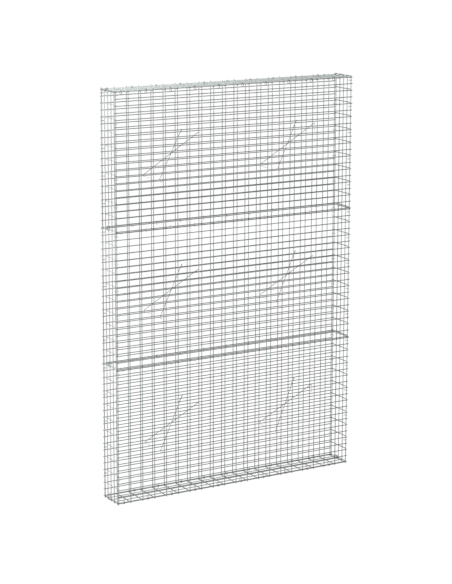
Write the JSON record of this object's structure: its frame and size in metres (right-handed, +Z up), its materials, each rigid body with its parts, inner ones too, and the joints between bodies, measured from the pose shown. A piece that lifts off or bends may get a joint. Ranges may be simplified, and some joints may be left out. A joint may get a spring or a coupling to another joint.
{
  "type": "gabion wall",
  "caption": "Empty gabion wall: stacked tiers of welded galvanised mesh panels with base and cover, closed by C-rings and braced by crossed tie wires.",
  "frame": {"origin": "on the ground under the middle of the wall", "axes": "X along the wall, -Y is its front, +Z up"},
  "size_m": [2.0332, 0.2536, 3.044],
  "materials": {
    "mesh_wire": "hot-dip galvanised, dull satin with a pale green-grey cast",
    "ring_wire": "zinc-coated, slightly bluish and brighter than the mesh",
    "tie_wire": "galvanised, darker grey"
  },
  "bodies": {
    "root": {"front_lower_panel": "mesh_wire", "front_middle_panel": "mesh_wire", "front_upper_panel": "mesh_wire", "back_lower_panel": "mesh_wire", "back_middle_panel": "mesh_wire", "back_upper_panel": "mesh_wire", "left_lower_panel": "mesh_wire", "left_middle_panel": "mesh_wire", "left_upper_panel": "mesh_wire", "right_lower_panel": "mesh_wire", "right_middle_panel": "mesh_wire", "right_upper_panel": "mesh_wire", "base_panel": "mesh_wire", "cover_panel": "mesh_wire", "front_base_rings": "ring_wire", "front_lower_seam_rings": "ring_wire", "front_upper_seam_rings": "ring_wire", "front_cover_rings": "ring_wire", "back_base_rings": "ring_wire", "back_lower_seam_rings": "ring_wire", "back_upper_seam_rings": "ring_wire", "back_cover_rings": "ring_wire", "left_side_rings": "ring_wire", "right_side_rings": "ring_wire", "front_left_corner_rings": "ring_wire", "front_right_corner_rings": "ring_wire", "back_left_corner_rings": "ring_wire", "back_right_corner_rings": "ring_wire", "left_lower_tie_a": "tie_wire", "left_lower_tie_b": "tie_wire", "left_middle_tie_a": "tie_wire", "left_middle_tie_b": "tie_wire", "left_upper_tie_a": "tie_wire", "left_upper_tie_b": "tie_wire", "right_lower_tie_a": "tie_wire", "right_lower_tie_b": "tie_wire", "right_middle_tie_a": "tie_wire", "right_middle_tie_b": "tie_wire", "right_upper_tie_a": "tie_wire", "right_upper_tie_b": "tie_wire"}
  },
  "joints": []
}
